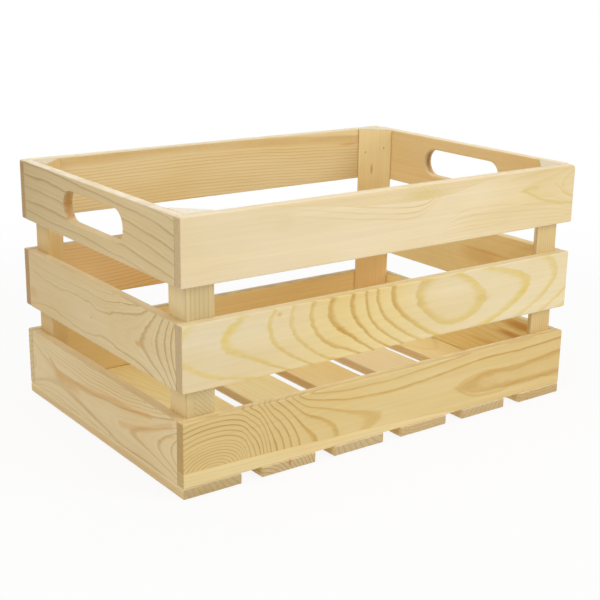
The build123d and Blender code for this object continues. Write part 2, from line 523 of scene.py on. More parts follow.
def pine_group():
    """Node group of planed pine. Log is across and deep from the pith, Tone is the board's three tones,
    and Stock is the place in the board."""
    tree = bpy.data.node_groups.new("Planed pine", "ShaderNodeTree")
    for way, sockets in (("INPUT", PINE_INPUTS), ("OUTPUT", PINE_OUTPUTS)):
        for kind, names in sockets.items():
            for name in names.split(", "):
                tree.interface.new_socket(name, in_out=way, socket_type="NodeSocket" + kind)
    n = Nodes(tree)
    given = n.add("NodeGroupInput").outputs
    stock = given["Stock"]
    heart_and_shade, vivid, crisp_start = n.split(given["Tone"])

    # Rings, in the colours of sapwood and heartwood
    years = growth_years(n, given)
    line = year_line(n, years, crisp_start, given["Fine"])
    late = n.product(line, line_strength(n, stock, years, vivid), given["Line"])
    ground = n.mix(heart_and_shade, given["Pale"], given["Early"])
    colour = n.mix(late, ground, n.mix(heart_and_shade, given["Faint"], given["Late"]))

    # Fibres, broad bands, pores, warm patches, and resin and painted shade
    fibre = n.wood_noise(stock, across=0.55, along=40, detail=3.0, roughness=0.6)
    band = n.wood_noise(stock, across=3.2, along=170)
    pores = n.wood_noise(stock, across=0.3, along=3, detail=1.0)
    patch = n.wood_noise(stock, across=45, along=150)
    light = n.swing(band, by=0.07, about=n.swing(fibre, by=0.06, about=1.0))
    light = n.product(light, n.ramp(pores, low=0.5, high=0.72, start=1.0, end=0.86))
    warmed = n.mix(1.0, colour, linear(251, 246, 232), "MULTIPLY")
    colour = n.mix(n.ramp(patch, low=-0.25, high=0.5), colour, warmed)
    resin = n.product(given["Stain"], n.swing(fibre, by=0.5, about=0.9))
    colour = n.mix(resin, colour, given["Resin"])

    # End grain drinks more light, and shows open pores between crisper rings
    facing = n.add("ShaderNodeNewGeometry").outputs["Normal"]
    cut = n.vector("DOT_PRODUCT", facing, given["Grain"], output="Value")
    end = n.ramp(n.math("ABSOLUTE", cut), low=0.45, high=0.85)
    speck = n.wood_noise(stock, across=1.3, along=1.3, detail=3.0, roughness=0.65)
    end_rings = n.mix(n.swing(line, by=0.4, about=0.0), ground, given["Late"])
    end_colour = n.mix(1.0, n.mix(resin, end_rings, colour), given["End"], "MULTIPLY")
    colour = n.mix(end, colour, n.shade(end_colour, n.swing(speck, by=0.24, about=0.98)))

    # Handled edges take their edge colour in scuffs: worn wood, and on some arrises painted highlight and
    # painted shade
    scuff = n.wood_noise(stock, across=6, along=18, detail=3.0)
    scuff = n.ramp(scuff, low=-0.4, high=0.5, start=0.3, end=0.75)
    colour = n.mix(n.product(given["Edge"], scuff), colour, given["Worn"])
    colour = n.shade(colour, light)

    # Gloss and relief
    rough = n.swing(fibre, by=0.06, about=n.swing(line, by=-0.08, about=0.56))
    rough = n.swing(end, by=0.16, about=rough)
    height = n.swing(fibre, by=0.35, about=n.swing(line, by=0.5, about=0.0))
    height = n.swing(n.product(speck, end), by=0.4, about=height)
    relief = {"Strength": 0.35, "Distance": 0.25 * MM, "Height": height}
    bump = n.add("ShaderNodeBump", relief).outputs[0]
    n.add("NodeGroupOutput", {"Color": colour, "Roughness": rough, "Normal": bump})
    return tree


PINE = pine_group()


def board_wood(n):
    """A board's places in log and stock, its tones, and its edge share of handling and painted light, from
    its mesh.
    """
    wood = {"Log": n.attribute("log"), "Tone": n.attribute("tone"), "Stock": n.attribute("stock")}
    wood["Edge"] = n.attribute("eased", "Fac")
    return wood


def post_wood(n, pith, lean, shift):
    """A post's places in log and stock, its tones with painted shade lower down, and the handled colour of
    its top, from its frame.
    """
    place = n.add("ShaderNodeTexCoord").outputs["Object"]
    height = n.split(place)[2]
    log = n.vector("MULTIPLY_ADD", place, (1 / MM, 1 / MM, 0.0), (*pith, 0.0))
    below = n.math("MINIMUM", n.math("SUBTRACT", height, POST_STRAIGHT), 0.0)
    slant = n.ramp(n.split(log)[0], POST_PITH[0], POST_PITH[0] + POST_LEAN_FADE, 0.0, lean / MM)
    # Painted shade: lower down, a post takes its darker, more orange early colours, for the shade inside the
    # crate
    heart_and_shade = n.ramp(height, *POST_PALING, 1.0, 0.0)
    worn_from, worn_to = cad_high[2] - ARRIS * MM, cad_high[2] - BUTT_ARRIS * MM
    return {
        "Log": n.vector("ADD", log, n.join(n.product(below, slant))),
        "Tone": n.join(heart_and_shade, TONES["vivid"], TONES["crisp"]),
        "Stock": n.vector("MULTIPLY_ADD", place, [1 / MM] * 3, [shift] * 3),
        "Edge": n.ramp(height, worn_from, worn_to, 0.0, POST_TOP_WEAR),
    }


def resin_and_shade_share(n, stock, shift, stains_and_shade, streaks):
    """Knots, resinous wood and painted shade in soft spots, and knots and resinous wood in streaks whose
    distances come from the mesh.
    """
    aways = []
    for (u, v, w), half_length, half_width, depth in stains_and_shade:
        away = n.vector("SUBTRACT", stock, (v + shift, w + shift, u + shift))
        scale = (1 / half_width, 1 / STAIN_DEEP, 1 / half_length)
        aways.append((n.vector("MULTIPLY", away, scale), depth))
    for number, (route, half_width, depth) in enumerate(streaks):
        aways.append((n.attribute(f"streak_{number}"), depth))
    ragged = n.wood_noise(stock, across=2, along=9)
    resin = 0.0
    for away, depth in aways:
        far = n.swing(ragged, by=0.2, about=n.vector("LENGTH", away, output="Value"))
        resin = n.math("MAXIMUM", n.ramp(far, low=0.2, high=1.0, start=depth, end=0.0), resin)
    return resin


def join_stave(n, wood, stave_early):
    """A board glued up from two staves changes its figure at the joint."""
    past_joint = n.attribute("past_joint", "Fac")
    in_stave = n.math("GREATER_THAN", past_joint, 0.0)
    glue = n.ramp(n.math("ABSOLUTE", past_joint), low=0.1, high=0.6, start=0.18, end=0.0)
    wood["Log"] = n.blend(in_stave, wood["Log"], n.attribute("stave_log"))
    wood["Tone"] = n.blend(in_stave, wood["Tone"], n.attribute("stave_tone"))
    wood["Early"] = n.mix(in_stave, wood["Early"], stave_early)
    wood["Stain"] = n.math("MAXIMUM", glue, wood["Stain"])


def pine_material(
    name, grain, seed, ring, line, pale, early, faint, late,
    end=BOARD_END, worn=WEAR_AND_HIGHLIGHT, resin=RESIN_AND_SHADE, fine=0.0, core=None, outer=None, warp=1.5, jag=0.25, stains_and_shade=(),
    streaks=(), stave_early=None, post_pith=None, post_lean=0.0,
):
    """Material of one board, or of a post where its pith is given."""
    material, n = new_material(name)
    shift = seed * STOCK_SHIFT
    wood = post_wood(n, post_pith, post_lean, shift) if post_pith else board_wood(n)
    wood["Stain"] = resin_and_shade_share(n, wood["Stock"], shift, stains_and_shade, streaks)
    wood["Early"] = linear(*early)
    if stave_early:
        join_stave(n, wood, linear(*stave_early))
    core_radius, core_ring = core or (0.0, ring)
    outer_radius, outer_ring = outer or (OUT_OF_REACH, ring)
    growth = {
        "Ring": ring, "Core": core_radius, "Core Pull": 1 / core_ring - 1 / ring,
        "Outer": outer_radius, "Outer Pull": 1 / outer_ring - 1 / ring,
        "Grain": grain, "Warp": warp, "Jag": jag, "Line": line, "Fine": fine,
    }
    colours = {"Pale": pale, "Faint": faint, "Late": late, "End": end, "Worn": worn, "Resin": resin}
    colours = {key: linear(*colour) for key, colour in colours.items()}
    pine = n.add("ShaderNodeGroup", wood | growth | colours, node_tree=PINE).outputs
    surface = {"Base Color": pine["Color"], "Roughness": pine["Roughness"], "Normal": pine["Normal"]}
    shader = n.add("ShaderNodeBsdfPrincipled", surface)
    n.add("ShaderNodeOutputMaterial", {"Surface": shader.outputs[0]})
    return material


# Axes u, v and w of a board by the side it stands on, each an axis number and a direction
AXES = {
    "front": ((0, 1), (2, 1), (1, 1)),
    "back": ((0, 1), (2, 1), (1, -1)),
    "left": ((1, -1), (2, 1), (0, 1)),
    "right": ((1, -1), (2, 1), (0, -1)),
    "floor": ((1, 1), (0, 1), (2, 1)),
}

BLOND = dict(pale=(236, 218, 180), early=(226, 204, 154), faint=(216, 182, 94), late=(203, 178, 58))
HONEY = dict(pale=(229, 213, 177), early=(231, 209, 147), faint=(222, 198, 92), late=(196, 153, 60))
AMBER = dict(pale=(223, 202, 146), early=(216, 190, 129), faint=(206, 162, 60), late=(180, 134, 56))
OLIVE = dict(pale=(225, 202, 154), early=(227, 204, 156), faint=(210, 176, 88), late=(178, 138, 62))
ORANGE = dict(pale=(236, 208, 153), early=(237, 207, 147), faint=(222, 182, 108), late=(204, 158, 90))
TAN = dict(pale=(233, 211, 162), early=(231, 206, 152), faint=(212, 176, 96), late=(190, 148, 74))
CREAM = dict(
    pale=(247, 231, 188), early=(246, 228, 180), faint=(228, 194, 118), late=(210, 166, 84), end=SLAT_END,
    wear_and_shading_share=0.0,
)

# Painted shade: a dark colour on the arrises of boards inside the crate, strongest on the inner top arris,
# where shade falls
SHADED_EDGES = dict(worn=(150, 138, 104), wear_and_shading_share=1.2, sides=(0.4, 1.0))

# Long sides of a floor slat, darker than its top: painted shade, stained along the sides where shade falls
# between the slats
LEFT_SIDE = ((155, 0, 5), 400, 4, 0.5)
OUTER_LEFT_SIDE = ((155, 0, 5), 400, 4, 0.36)
RIGHT_SIDE = ((155, 59, 5), 400, 4, 0.5)

# How each board was cut. Along it, depth and height place the pith behind the outer face, and
# heart_and_shade, vivid and crisp are tones. Calm is the share of vivid on the inner face. Rings grow by
# ring, and at other rates inside the radius of core, where a year starts, and outside that of outer. No late
# wood shows above bare_above. A leaning figure lies further along towards the upper edge. Stains have a
# place, half length, half width and depth of colour, and streaks a curve, half width and depth; some stains
# are painted shade.
# The arris takes a colour of handling, on some boards a painted highlight and on others painted shade; sides
# are the shares of it on the outer and inner arris. Past a joint lies a second stave, from another log.
FIGURES = {}
FIGURES["front_top_board"] = dict(
    lean=[(0, 0), (180, 0), (215, 0), (262, 0.8), (305, 0.8), (345, 0), (380, 0), (460, 0)],
    depth=[(0, 124), (60, 122), (140, 118.6), (190, 115.6), (215, 114.6), (247, 114.4), (262, 117),
           (274, 121.5), (280, 102), (286, 80.5), (293, 80.2), (303, 82), (320, 82.5), (335, 82.5),
           (360, 82.4), (388, 82), (410, 81.6), (437, 80.9), (460, 79.3)],
    height=[(0, 100), (140, 92), (215, 90), (250, 88), (274, 83), (286, 46), (296, 42), (330, 41),
            (460, 40)],
    heart_and_shade=[(0, 0.1), (110, 0.1), (330, 0.1), (385, 0.6), (460, 0.9)],
    vivid=[(0, 0), (100, 0.1), (140, 0.5), (215, 0.7), (266, 0.7), (277, 0), (287, 0), (296, 0.35),
           (350, 0.35), (375, 0.35), (395, 0.4), (460, 0.4)],
    crisp=[(0, 0.62), (340, 0.62), (375, 0.62), (395, 0.5), (460, 0.5)],
    bare_above=[(0, 90), (260, 90), (274, 90), (280, 64), (286, 40), (292, 38), (345, 38), (372, 60),
                (385, 90), (460, 90)],
    ring=2.2, core=(100.2, 1.3), outer=(128.8, 60), line=0.65, warp=0.2, jag=0.1,
    stains_and_shade=[((103, 44, 0), 14, 7, 0.12), ((258, 50, 0), 34, 7, 0.3)], resin=(206, 184, 84),
    streaks=[
        ([(388, 39), (395, 36), (404, 32), (414, 28), (427, 25), (442, 22), (458, 20)], 2.5, 0.5),
        ([(388, 39), (395, 41), (404, 41)], 2.5, 0.4),
        ([(436, 42), (439, 37), (444, 32.5), (456, 28)], 2, 0.4),
    ],
    **BLOND, worn=(233, 219, 192), wear_and_shading_share=RIM_WEAR_AND_HIGHLIGHT,
    stave_early=(230, 206, 156), stave_above=True,
    stave_vivid=[(0, 0.1), (212, 0.1), (236, 0.85), (282, 0.85), (296, 0.1), (460, 0.1)],
    joint=[(0, 60), (80, 58), (150, 51), (210, 46), (285, 46), (330, 54), (370, 59), (460, 60)],
    stave_depth=[(0, 100), (195, 98), (212, 94), (250, 79), (292, 60), (320, 56), (460, 52)],
    stave_height=[(0, 92), (460, 92)],
)
FIGURES["front_middle_board"] = dict(
    depth=[(0, 179.2), (36, 177), (84, 174), (107, 171), (129, 168), (149, 165), (174, 162), (191, 159),
           (204, 156), (221, 153), (251, 150), (290, 147.5), (347, 150), (406, 153), (447, 156),
           (460, 157.2)],
    height=[(0, 37.5), (36, 39), (84, 42), (107, 45), (149, 47), (180, 50), (221, 53), (251, 46), (290, 37),
            (347, 30), (406, 36), (447, 41), (460, 42)],
    heart_and_shade=[(0, 0), (60, 0.1), (115, 0.5), (150, 0.9), (225, 1), (260, 0.5), (300, 0.25), (460, 0.25)],
    vivid=[(0, 0.7), (100, 0.75), (150, 0.9), (225, 0.9), (260, 0.85), (460, 0.8)],
    crisp=[(0, 0.7), (120, 0.66), (160, 0.6), (230, 0.6), (270, 0.5), (350, 0.54), (460, 0.6)],
    ring=3, line=1, warp=0.3, jag=0.3,
    stains_and_shade=[((97, 53, 0), 4, 3, 0.5), ((340, 29, 0), 16, 5, 0.2)],
    # Painted highlight: the inner top arris is tinted pale, far more than the outer one
    **HONEY, worn=(250, 228, 178), wear_and_shading_share=0.6, sides=(0.15, 1.5),
)
FIGURES["front_bottom_board"] = dict(
    depth=[(0, 18), (10, 12), (20, 6), (30, 1), (40, 6), (50, 13), (57, 18.5), (62, 23.5), (65.5, 28.5),
           (69, 33), (75, 37.5), (79, 42), (82.5, 46.5), (86, 51), (90, 55.5), (97.5, 60), (105, 64.5),
           (113, 69), (122.5, 73.5), (142.5, 78), (166, 82.5), (217, 85.9), (262, 86.6), (308, 85.9),
           (345, 85.25), (400, 85.1), (460, 84.8)],
    height=[(0, 8), (100, 8), (140, 7), (166, 12), (190, 16), (217, 18), (262, 22), (308, 23), (345, 24),
            (400, 23), (460, 25)],
    heart_and_shade=[(0, 1), (100, 0.9), (140, 0.4), (230, 0.3), (320, 0.6), (460, 0.95)],
    vivid=[(0, 0.8), (35, 0.85), (55, 0.9), (75, 0.95), (130, 0.95), (170, 0.8), (230, 0.8), (320, 0.95),
           (460, 1)],
    crisp=[(0, 0.56), (60, 0.6), (130, 0.64), (230, 0.7), (300, 0.73), (460, 0.69)],
    ring=4.5, core=(28.5, 2.7), outer=(82.5, 3.4), line=0.95, warp=0.15, jag=0.2,
    streaks=[
        ([(312, 26), (321, 30.5), (337, 33.5), (353, 35), (371, 31), (402, 30), (419, 33), (460, 38)],
         2.5, 0.4),
        ([(312, 25), (322, 17.5), (333, 13), (359, 10), (373, 10), (387, 13), (421, 15.5), (458, 10)],
         2.5, 0.4),
    ],
    # Painted highlight: the inner top arris is tinted pale, far more than the outer one
    **AMBER, resin=(196, 152, 58), worn=(254, 232, 178), wear_and_shading_share=1.2, sides=(0.2, 1.1),
    stave_early=(233, 210, 156), stave_above=False,
    stave_vivid=[(0, 0.15), (460, 0.15)],
    joint=[(0, 14), (75, 12.5), (125, 11), (215, 8), (300, 3), (340, -3), (460, -12)],
    stave_depth=[(0, 20), (460, 20)], stave_height=[(0, -104), (460, -118)],
)
FIGURES["left_handle_board"] = dict(
    depth=[(0, 10), (291, 12)],
    height=[(0, -97), (60, -98), (100, -99.5), (200, -103), (280, -111), (291, -113)],
    heart_and_shade=[(0, 0), (80, 0.4), (200, 0.8), (291, 0.8)], crisp=[(0, 0.68), (291, 0.7)],
    vivid=[(0, 1.5), (60, 1.4), (130, 1), (291, 0.92)],
    ring=11.6, core=(109.9, 11.6), line=0.7, fine=0.25, warp=6.5, jag=0.7,
    # Painted shade: the stain at the slot's far end darkens its wall, where shade falls
    stains_and_shade=[((91, 31, 5), 13, 24, 1)], worn=(250, 240, 219), wear_and_shading_share=RIM_WEAR_AND_HIGHLIGHT,
    pale=(203, 178, 126), early=(228, 207, 162), faint=(176, 144, 88), late=(178, 142, 80),
)
FIGURES["left_middle_board"] = dict(
    depth=[(0, 148.7), (26, 149.2), (140, 149.2), (158, 149.45), (172, 149.3), (190, 148.9), (217, 148.4),
           (231, 148), (257, 146), (272, 144), (282, 142), (291, 140)],
    height=[(0, 24), (157, 23), (190, 25), (217, 27), (231, 28), (257, 33), (272, 36), (291, 37)],
    heart_and_shade=[(0, 0.1), (100, 0.5), (160, 0.8), (230, 1), (291, 1)],
    crisp=[(0, 0.82), (200, 0.78), (240, 0.64), (291, 0.6)],
    ring=2, core=(150, 2), outer=(150, 1.3), line=0.9, fine=0.2, warp=0.25, jag=0.2,
    stains_and_shade=[((9, 17, 0), 13, 9, 0.4), ((137, 24, 0), 3, 1.5, 0.6), ((227, 24, 0), 8, 5, 0.6)],
    **dict(OLIVE, pale=(216, 191, 145), early=(228, 208, 162)),
    # Painted shade: the outer top arris is tinted dark, more than the inner one, for the weak light from the
    # left
    worn=(200, 172, 124), wear_and_shading_share=0.8, sides=(1.2, 0.3),
)
FIGURES["left_bottom_board"] = dict(
    depth=[(0, 148.3), (23, 149.25), (48, 149.67), (93, 149.67), (132, 149.46), (157, 149.17), (197, 148.64),
           (223, 148.4), (257, 147.85), (280, 147.1), (291, 146.6)],
    height=[(0, 27), (48, 26), (93, 24), (132, 21), (157, 21), (197, 20), (223, 23), (257, 26), (291, 29)],
    heart_and_shade=[(0, 0.7), (291, 0.9)], crisp=[(0, 0.62), (200, 0.7), (291, 0.62)],
    vivid=[(0, 0.55), (70, 0.75), (140, 1), (291, 1)],
    ring=1.45, core=(148.55, 0.72), outer=(150, 0.66), line=0.72, fine=0.15, warp=0.06, jag=0.05,
    stains_and_shade=[((66, 28, 0), 22, 9, 0.6), ((86, 27, 0), 30, 8, 0.5)],
    streaks=[
        ([(43, 40), (59, 32), (75, 29), (106, 33), (140, 35), (176, 40), (211, 42), (244, 47)],
         3.5, 0.55),
        ([(191, 22), (206, 24.5), (221, 28), (236, 32.5), (261, 42.5), (280, 51)], 5, 0.42),
        ([(262, 29), (268, 35), (282, 42)], 2.5, 0.4),
    ],
    # Painted shade: the outer top arris is tinted dark, more than the inner one, for the weak light from the
    # left
    **OLIVE, worn=(200, 172, 124), wear_and_shading_share=0.8, sides=(1.2, 0.35),
)
FIGURES["back_top_board"] = dict(
    depth=[(0, 30), (460, 34)], height=[(0, -70), (200, -66), (460, -76)], heart_and_shade=[(0, 0.6), (460, 0.8)],
    ring=3.4, outer=(118, 40), line=0.6, warp=2.2, jag=0.4, stains_and_shade=[((407, 42, 10), 22, 2.5, 0.6)],
    **dict(TAN, early=(227, 205, 154), end=BACK_END), worn=(230, 228, 210), wear_and_shading_share=RIM_WEAR_AND_HIGHLIGHT,
)
FIGURES["back_middle_board"] = dict(
    depth=[(0, 44), (130, 48), (200, 66), (260, 92), (310, 104), (380, 96), (460, 84)],
    height=[(0, -46), (130, -40), (200, -16), (260, 16), (310, 30), (460, 24)],
    heart_and_shade=[(0, 0), (55, 0.3), (110, 0.9), (150, 1), (230, 0.5), (460, 0.9)], calm=0.5,
    vivid=[(0, 1.7), (130, 1.6), (230, 1), (460, 1)],
    ring=3.4, line=0.8, warp=0.5,
    **dict(ORANGE, pale=(235, 205, 155), early=(226, 187, 122), late=(192, 138, 76), end=BACK_END),
    **SHADED_EDGES,
)
FIGURES["back_bottom_board"] = dict(
    depth=[(0, 34), (160, 30), (320, 36), (460, 32)], height=[(0, -30), (230, -38), (460, -24)],
    heart_and_shade=[(0, 0.1), (120, 0.3), (230, 0.8), (460, 0.9)], calm=0.12, ring=5.5, line=0.8,
    **dict(ORANGE, pale=(240, 212, 148), early=(233, 202, 141), end=(232, 234, 250)),
    **SHADED_EDGES,
)
FIGURES["right_handle_board"] = dict(
    depth=[(0, 70), (291, 64)], height=[(0, -60), (150, -66), (291, -58)], heart_and_shade=[(0, 0.5), (291, 0.6)],
    calm=0.15, ring=7, line=0.7, warp=2, fine=0.3,
    # Painted shade: the stain at the slot's far end, in dark brown, darkens its wall where shade falls
    stains_and_shade=[((91, 31, 5), 13, 24, 1)], resin=(118, 80, 44), **ORANGE, wear_and_shading_share=RIM_WEAR_AND_HIGHLIGHT,
)
FIGURES["right_middle_board"] = dict(
    depth=[(0, 120), (60, 123), (140, 117), (200, 111), (250, 106), (291, 104)],
    height=[(0, 30), (120, 26), (291, 34)], heart_and_shade=[(0, 0), (110, 0.1), (180, 0.9), (291, 1)],
    calm=0.1, ring=3, line=0.8, warp=0.4,
    stains_and_shade=[((185, 30, 10), 48, 13, 0.4), ((190, 36, 10), 50, 3, 0.6)],
    **dict(ORANGE, pale=(233, 212, 157), early=(233, 206, 143)),
)
FIGURES["right_bottom_board"] = dict(
    depth=[(0, 40), (100, 46), (200, 43), (291, 36)], height=[(0, 70), (150, 76), (291, 66)],
    heart_and_shade=[(0, 0.8), (291, 0.6)], calm=0.35, ring=5, line=0.7,
    stains_and_shade=[((250, 51, 10), 34, 7, 1), ((240, 38, 10), 34, 5, 0.9), ((215, 20, 10), 60, 4, 0.4)],
    **dict(ORANGE, pale=(244, 222, 160), early=(242, 218, 154)), **SHADED_EDGES,
)
FIGURES["floor_slat_1"] = dict(
    depth=[(0, 44), (311, 48)], height=[(0, 90), (311, 82)], heart_and_shade=[(0, 0.6), (311, 0.8)], calm=0.12,
    ring=5, line=0.7, stains_and_shade=[RIGHT_SIDE, OUTER_LEFT_SIDE, ((0, 21, 3), 5, 9, 0.4)],
    resin=(172, 120, 70),
    **dict(OLIVE, early=(234, 211, 153), late=(198, 164, 100), end=OUTER_SLAT_END), wear_and_shading_share=0,
)
FIGURES["floor_slat_2"] = dict(
    depth=[(0, -20), (150, -16), (311, -26)], height=[(0, 0), (150, 4), (311, -6)],
    heart_and_shade=[(0, 1), (311, 0.8)], calm=0.15, ring=3.6, line=0.8,
    stains_and_shade=[LEFT_SIDE, RIGHT_SIDE, ((60, 48, 10), 110, 16, 0.4), ((0, 30, 8), 5, 2.5, 1)],
    **dict(CREAM, pale=(250, 234, 178), early=(248, 230, 167), late=(120, 80, 40), end=(209, 198, 198)),
)
FIGURES["floor_slat_3"] = dict(
    depth=[(0, 28), (100, 36), (311, 30)], height=[(0, 66), (311, 72)], heart_and_shade=[(0, 0.4), (311, 0.6)],
    calm=0.2, ring=6, line=0.7, stains_and_shade=[LEFT_SIDE, RIGHT_SIDE, ((40, 24, 10), 90, 10, 0.1)],
    **dict(CREAM, pale=(249, 235, 182), early=(246, 230, 172), end=(205, 194, 193)),
)
FIGURES["floor_slat_4"] = dict(
    depth=[(0, 112), (70, 116), (150, 123), (230, 118), (311, 108)],
    height=[(0, 26), (150, 33), (311, 30)], heart_and_shade=[(0, 0.7), (311, 0.9)], calm=0.15,
    ring=3.2, line=0.8, warp=0.5, stains_and_shade=[LEFT_SIDE, RIGHT_SIDE],
    **dict(CREAM, pale=(243, 220, 162), early=(242, 218, 157), end=(211, 204, 205)),
)
FIGURES["floor_slat_5"] = dict(
    depth=[(0, 52), (311, 46)], height=[(0, -40), (150, -46), (311, -36)], heart_and_shade=[(0, 0.6), (311, 0.5)],
    calm=0.2, ring=5.5, line=0.6, stains_and_shade=[LEFT_SIDE, RIGHT_SIDE], **CREAM,
)
FIGURES["floor_slat_6"] = dict(
    depth=[(0, 130), (90, 126), (180, 119), (260, 111), (311, 105)],
    height=[(0, 34), (150, 25), (311, 30)], heart_and_shade=[(0, 0.6), (311, 1)], calm=0.3,
    ring=3.6, line=0.7, warp=0.5, stains_and_shade=[LEFT_SIDE],
    pale=(252, 236, 184), early=(251, 234, 180), faint=(232, 196, 124), late=(214, 170, 96),
    end=(198, 182, 164), wear_and_shading_share=0,
)


def from_pith(points, depth, height):
    """Log places: across and deep from the pith."""
    u, v, w = points.T
    return np.stack([v - follow(height, u), follow(depth, u) - w, np.zeros_like(u)], axis=1)


def board_form(node, side, size, seed):
    """Form of a board with the rim corners, slot or brad pockets of its place."""
    length, width = size[:2]
    at_rim = node in ("front_top_board", "back_top_board")
    low_radii = (CORNER, CORNER)
    high_radii = RIM_CORNERS if at_rim else low_radii
    inset = max(high_radii) + EDGE_ROW
    stations = list(spread(inset, length - inset, COLUMN))
    levels = [ARRIS, *spread(ARRIS + EDGE_ROW, width - ARRIS - EDGE_ROW, ROW), width - ARRIS]
    slot = None
    if "handle" in node:
        radius = SLOT_HEIGHT / 2
        slot = (length / 2, width / 2 + SLOT_RISE, SLOT_LENGTH / 2 - radius, radius)
        around = slot_stations(slot[0], slot[2], radius + SLOT_EASING)
        before = spread(inset, around[0], COLUMN)[:-1]
        after = spread(around[-1], length - inset, COLUMN)[1:]
        stations = [*before, *around, *after]
    pockets = slat_pockets(node, length, width) if side == "floor" else []
    stations = with_lines(stations, [u + way * POCKET_U / 2 for u, v in pockets for way in (-1, 1)])
    levels = with_lines(levels, [v + way * POCKET_V / 2 for u, v in pockets for way in (-1, 1)])
    rows = [(level - ARRIS) / (width - 2 * ARRIS) for level in levels]
    end_arris = BUTT_ARRIS if side in ("left", "right") else ARRIS
    form = BoardForm(size, seed, (low_radii, high_radii), stations, rows, end_arris)
    if slot:
        form.cut_slot(*slot)
    form.open_pockets(pockets)
    return form


def wave_faces(points, thickness, seed):
    """Move a board's faces in a little, as wood does after it was planed."""
    for index, (u, v, w) in enumerate(points):
        share = w / thickness
        place = (u / FACE_WAVE_U, v / FACE_WAVE_V)
        near = 0.5 + 0.5 * noise.noise(Vector((*place, seed * FACE_SEED)))
        far = 0.5 + 0.5 * noise.noise(Vector((*place, seed * FACE_SEED + INNER_FACE_SEED)))
        points[index, 2] = w + FACE_WAVE * (near * (1 - share) - far * share)


def wood_places(figure, points, size, seed):
    """Places in log and stock, and tones, at a board's points. What is used leaves the figure."""
    length, width, thickness = size
    along, across, deep = points.T.copy()
    if "lean" in figure:
        along -= follow(figure.pop("lean"), along) * (across - width / 2)
    tones = [follow(figure.pop(key, [(0, usual), (length, usual)]), along) for key, usual in TONES.items()]
    heart_and_shade, vivid, crisp = tones
    vivid *= 1 - (1 - figure.pop("calm", 1.0)) * deep / thickness
    if "bare_above" in figure:
        vivid *= np.clip((follow(figure.pop("bare_above"), along) - across) / BARE_FADE, 0, 1)
    leaning = np.stack([along, across, deep], axis=1)
    return {
        "log": from_pith(leaning, figure.pop("depth"), figure.pop("height")),
        "tone": np.stack([heart_and_shade, vivid, crisp], axis=1),
        "stock": points[:, (1, 2, 0)] + seed * STOCK_SHIFT,
    }


def streak_places(streaks, points):
    """Distances from a board's streaks, as shares of what they reach."""
    u, v, w = points.T
    places = {}
    for number, (route, half_width, depth) in enumerate(streaks):
        beyond = u - np.clip(u, route[0][0], route[-1][0])
        away = [(v - follow(route, u)) / half_width, w / STAIN_DEEP, beyond / STREAK_END]
        places[f"streak_{number}"] = np.stack(away, axis=1)
    return places


def stave_places(figure, points):
    """Places and tones in a board's second stave, and distance past the joint."""
    along, across = points.T[:2]
    above = across - follow(figure.pop("joint"), along)
    tone = np.full_like(points, tuple(TONES.values()))
    tone[:, 1] = follow(figure.pop("stave_vivid"), along)
    return {
        "past_joint": above if figure.pop("stave_above") else -above,
        "stave_log": from_pith(points, figure.pop("stave_depth"), figure.pop("stave_height")),
        "stave_tone": tone,
    }


def wood_mesh(name, places, quads, attributes):
    """Mesh in the crate's frame that carries what its wood reads, smooth but for its sharp edges."""
    mesh = bpy.data.meshes.new(name)
    mesh.from_pydata((places * MM).tolist(), [], quads)
    for key, values in attributes.items():
        kind, field = ("FLOAT", "value") if values.ndim == 1 else ("FLOAT_VECTOR", "vector")
        attribute = mesh.attributes.new(key, kind, "POINT")
        attribute.data.foreach_set(field, values.astype(np.float32).ravel())
    form = bmesh.new()
    form.from_mesh(mesh)
    bmesh.ops.recalc_face_normals(form, faces=form.faces)
    form.to_mesh(mesh)
    form.free()
    mesh.shade_smooth()
    mesh.set_sharp_from_angle(angle=SHARP_ANGLE)
    return mesh


def make_board(node, seed):
    """Piece that stands for one board or floor slat of the frame."""
    side = node.split("_")[0]
    axes = AXES[side]
    corners = [Vector(corner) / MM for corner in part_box(node)]
    size = [corners[1][axis] - corners[0][axis] for axis, way in axes]
    figure = dict(FIGURES[node])
    wear_and_shading_share = figure.pop("wear_and_shading_share", EDGE_WEAR)
    sides = figure.pop("sides", EVEN)
    points, worn, quads = board_form(node, side, size, seed).build(wear_and_shading_share, sides)
    wave_faces(points, size[2], seed)

    attributes = {"eased": worn} | wood_places(figure, points, size, seed)
    attributes |= streak_places(figure.get("streaks", []), points)
    if "joint" in figure:
        attributes |= stave_places(figure, points)
    places = np.zeros_like(points)
    for column, (axis, way) in enumerate(axes):
        start = corners[0][axis] if way > 0 else corners[1][axis]
        places[:, axis] = start + way * points[:, column]
    mesh = wood_mesh(node + "_wood", places, quads, attributes)
    grain = [1.0 if axis == axes[0][0] else 0.0 for axis in range(3)]
    mesh.materials.append(pine_material(node + "_pine", grain, seed, **figure))
    piece = put(node + "_wood", mesh)
    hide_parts(node)
    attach(piece, "root")


boards = sorted(FIGURES)
for number, node in enumerate(boards, start=1):
    make_board(node, number)

